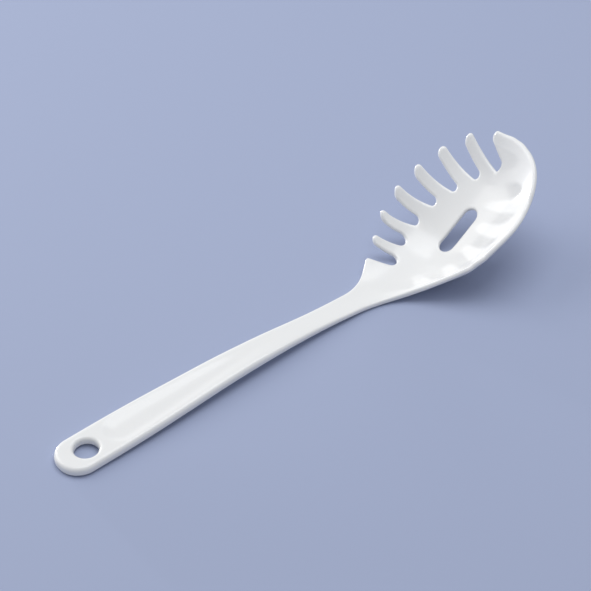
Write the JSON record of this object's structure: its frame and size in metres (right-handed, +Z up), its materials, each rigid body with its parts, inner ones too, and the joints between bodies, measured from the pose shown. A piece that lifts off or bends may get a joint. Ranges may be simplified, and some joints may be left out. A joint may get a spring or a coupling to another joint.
{
  "type": "pasta server",
  "caption": "One-piece moulded plastic pasta server with a long dished handle, a tilted oval bowl, free teeth along one side, a drain slot and a hanging hole.",
  "frame": {"origin": "middle of the tool's overall box, on the surface that it lies on", "axes": "+X along the handle towards the bowl's tip, +Y towards the toothed side, +Z up from the surface that the tool lies on"},
  "size_m": [0.3011, 0.0769, 0.053],
  "materials": {
    "white_plastic": "glossy moulded plastic"
  },
  "bodies": {
    "root": {"handle": "white_plastic", "bowl": "white_plastic"}
  },
  "joints": []
}
